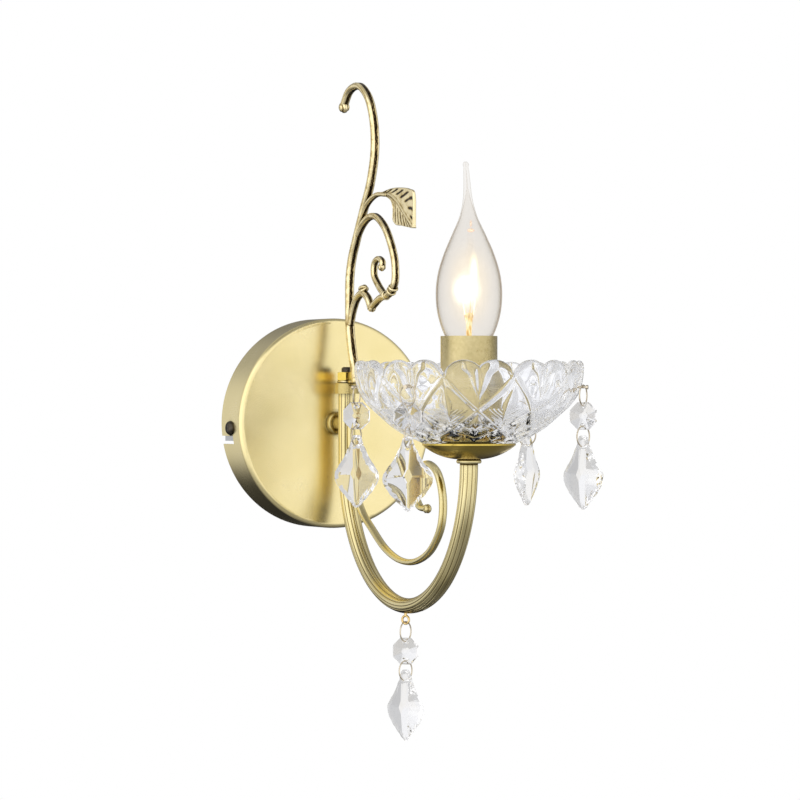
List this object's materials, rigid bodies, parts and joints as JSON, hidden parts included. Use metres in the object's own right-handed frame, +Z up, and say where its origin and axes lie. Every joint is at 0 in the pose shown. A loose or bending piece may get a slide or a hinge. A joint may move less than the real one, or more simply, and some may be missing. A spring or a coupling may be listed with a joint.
{
  "type": "crystal wall sconce",
  "caption": "Wall sconce: round rose, reeded U-arm with candle lamp in a scalloped cut-glass bobeche, cast scroll with leaf above, volute rod and swinging crystal drops.",
  "frame": {"origin": "on the wall plane, at the back face of the bracket's strap, on the round rose's axis", "axes": "+Y into the wall, -Y to the front where the candle stands, +Z up, +X to the right seen from the front"},
  "size_m": [0.1276, 0.2533, 0.3662],
  "materials": {
    "satin_gold": "satin, fine grain",
    "champagne_gold": "satin metallic",
    "antique_brass": "rubbed, dark in the recesses",
    "dark_steel": "blackened",
    "zinc_steel": "zinc plated",
    "bright_brass": "bright",
    "ivory_plastic": "moulded",
    "lead_jacket": "insulation",
    "clear_rubber": "soft",
    "cut_glass": "clear, pressed and cut",
    "crystal": "clear, faceted",
    "lamp_glass": "clear, blown",
    "ring_wire": "bright wire",
    "nickel": "rolled",
    "black_glass": "glazed",
    "filament": "glowing"
  },
  "bodies": {
    "root": {"wall_bracket": "zinc_steel", "rose_shell": "satin_gold", "rose_side_screws": "dark_steel", "terminal_block": "ivory_plastic", "terminal_screws": "bright_brass", "earth_screw": "bright_brass", "earth_washer": "bright_brass", "boss_ring": "champagne_gold", "neck_tube": "champagne_gold", "neck_washer": "zinc_steel", "neck_nut": "zinc_steel", "arm_tube": "champagne_gold", "arm_leads": "lead_jacket", "arm_eye": "bright_brass", "top_collar": "champagne_gold", "top_stud": "dark_steel", "top_nut": "dark_steel", "scroll_casting": "antique_brass", "volute_rod": "champagne_gold", "neck_ring": "champagne_gold", "drip_pan": "champagne_gold", "bobeche_glass": "cut_glass", "rim_pins": "ring_wire", "glass_washer": "clear_rubber", "socket_nipple": "zinc_steel", "lock_nut": "zinc_steel", "lampholder_body": "ivory_plastic", "lampholder_shell": "bright_brass", "lampholder_contact": "bright_brass", "candle_sleeve": "champagne_gold"},
    "bulb": {"bulb_cap": "nickel", "bulb_contact": "black_glass", "bulb_glass": "lamp_glass", "bulb_stem": "lamp_glass", "bulb_filament": "filament"},
    "front_left_link": {"front_left_upper_ring": "ring_wire", "front_left_bead": "crystal"},
    "front_left_drop": {"front_left_lower_ring": "ring_wire", "front_left_pendant": "crystal"},
    "front_right_link": {"front_right_upper_ring": "ring_wire", "front_right_bead": "crystal"},
    "front_right_drop": {"front_right_lower_ring": "ring_wire", "front_right_pendant": "crystal"},
    "back_right_link": {"back_right_upper_ring": "ring_wire", "back_right_bead": "crystal"},
    "back_right_drop": {"back_right_lower_ring": "ring_wire", "back_right_pendant": "crystal"},
    "back_left_link": {"back_left_upper_ring": "ring_wire", "back_left_bead": "crystal"},
    "back_left_drop": {"back_left_lower_ring": "ring_wire", "back_left_pendant": "crystal"},
    "bottom_link": {"bottom_upper_ring": "ring_wire", "bottom_bead": "crystal"},
    "bottom_drop": {"bottom_lower_ring": "ring_wire", "bottom_pendant": "crystal"}
  },
  "joints": [
    {"name": "bulb_turn", "type": "hinge", "parent": "root", "child": "bulb", "pos_m": [0, -0.1925, 0.03], "axis": [0, 0, 1], "range_deg": [0, 1260]},
    {"name": "front_left_link_swing", "type": "hinge", "parent": "root", "child": "front_left_link", "pos_m": [-0.05199, -0.22498, 0.02], "axis": [-0.848, -0.5299, 0], "range_deg": [-35, 35]},
    {"name": "front_left_drop_swing", "type": "hinge", "parent": "front_left_link", "child": "front_left_drop", "pos_m": [-0.05199, -0.22498, 0.00005], "axis": [-0.2079, -0.9781, 0], "range_deg": [-35, 35]},
    {"name": "front_right_link_swing", "type": "hinge", "parent": "root", "child": "front_right_link", "pos_m": [0.04696, -0.2319, 0.02], "axis": [0.766, -0.6428, 0], "range_deg": [-35, 35]},
    {"name": "front_right_drop_swing", "type": "hinge", "parent": "front_right_link", "child": "front_right_drop", "pos_m": [0.04696, -0.2319, 0.00005], "axis": [-0.7431, -0.6691, 0], "range_deg": [-35, 35]},
    {"name": "back_right_link_swing", "type": "hinge", "parent": "root", "child": "back_right_link", "pos_m": [0.05199, -0.16002, 0.02], "axis": [0.848, 0.5299, 0], "range_deg": [-35, 35]},
    {"name": "back_right_drop_swing", "type": "hinge", "parent": "back_right_link", "child": "back_right_drop", "pos_m": [0.05199, -0.16002, 0.00005], "axis": [0.3746, -0.9272, 0], "range_deg": [-35, 35]},
    {"name": "back_left_link_swing", "type": "hinge", "parent": "root", "child": "back_left_link", "pos_m": [-0.04696, -0.1531, 0.02], "axis": [-0.766, 0.6428, 0], "range_deg": [-35, 35]},
    {"name": "back_left_drop_swing", "type": "hinge", "parent": "back_left_link", "child": "back_left_drop", "pos_m": [-0.04696, -0.1531, 0.00005], "axis": [-0.6947, -0.7193, 0], "range_deg": [-35, 35]},
    {"name": "bottom_link_swing", "type": "hinge", "parent": "root", "child": "bottom_link", "pos_m": [0, -0.1165, -0.10925], "axis": [0.515, -0.8572, 0], "range_deg": [-35, 35]},
    {"name": "bottom_drop_swing", "type": "hinge", "parent": "bottom_link", "child": "bottom_drop", "pos_m": [0, -0.1165, -0.12915], "axis": [-0.7193, -0.6947, 0], "range_deg": [-35, 35]}
  ]
}
